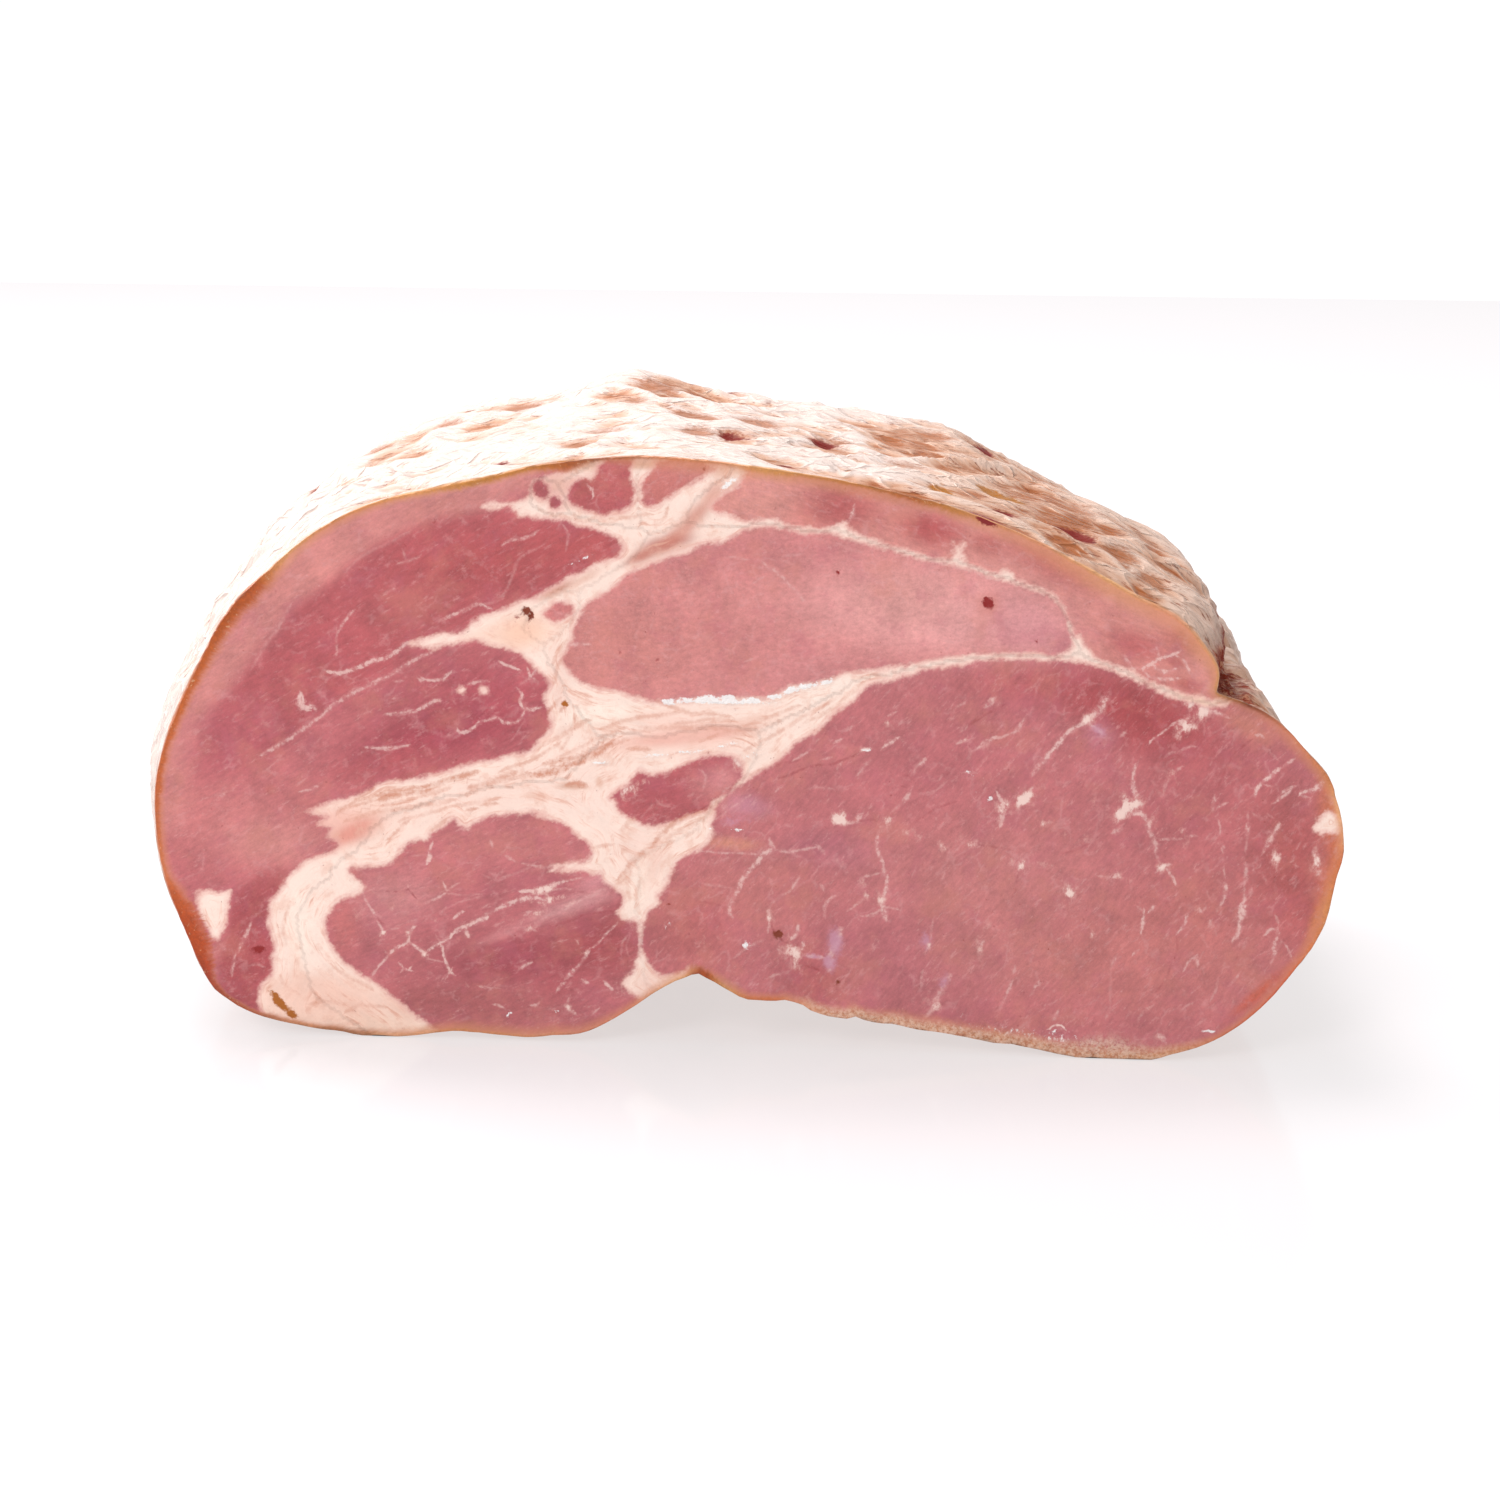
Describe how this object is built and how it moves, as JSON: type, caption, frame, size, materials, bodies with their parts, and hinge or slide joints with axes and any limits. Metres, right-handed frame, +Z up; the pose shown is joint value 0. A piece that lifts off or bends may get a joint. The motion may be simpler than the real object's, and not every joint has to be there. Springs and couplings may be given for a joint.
{
  "type": "cut piece of smoked ham",
  "caption": "Cut piece of smoked boneless ham: a flat marbled pink cut face, tan net-wrinkled skin, a fold in the right flank and a shallow arch underneath.",
  "frame": {"origin": "middle of the bottom of the bounding box, on the surface that the piece stands on", "axes": "+X along the cut face from left to right as the face is looked at, +Y from the cut face into the meat, +Z up; the cut face is the flat side at -Y"},
  "size_m": [0.2312, 0.146, 0.1141],
  "materials": {
    "smoked_ham": "satin"
  },
  "bodies": {
    "root": {"ham_piece": "smoked_ham"}
  },
  "joints": []
}
